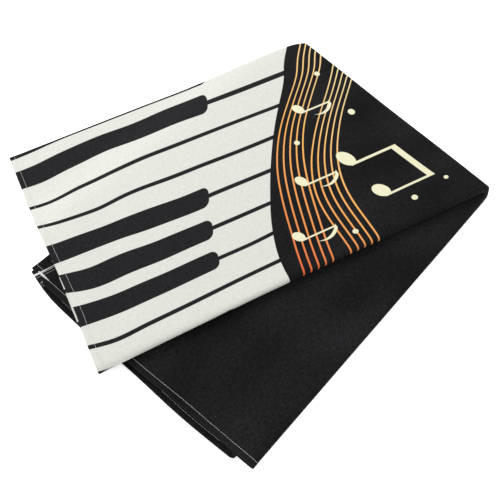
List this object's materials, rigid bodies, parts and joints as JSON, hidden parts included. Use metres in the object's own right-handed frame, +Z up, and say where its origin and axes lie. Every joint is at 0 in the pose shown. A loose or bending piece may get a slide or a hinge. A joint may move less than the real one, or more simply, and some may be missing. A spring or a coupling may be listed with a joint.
{
  "type": "piano top cover",
  "caption": "Hemmed cloth cover for the top of an upright piano, folded to a six-layer strip and turned back once over a slanted line.",
  "frame": {"origin": "centre of the folded cloth's outline, on the surface it lies on", "axes": "+Z up; seen from above with +Y away, the strip's turned end points right and its two hemmed ends point left"},
  "size_m": [0.5634, 0.5606, 0.0211],
  "materials": {
    "printed_cloth": "matt woven polyester, printed black with an ivory and black key border and fine gold lines"
  },
  "bodies": {
    "root": {"folded_cloth": "printed_cloth"}
  },
  "joints": []
}
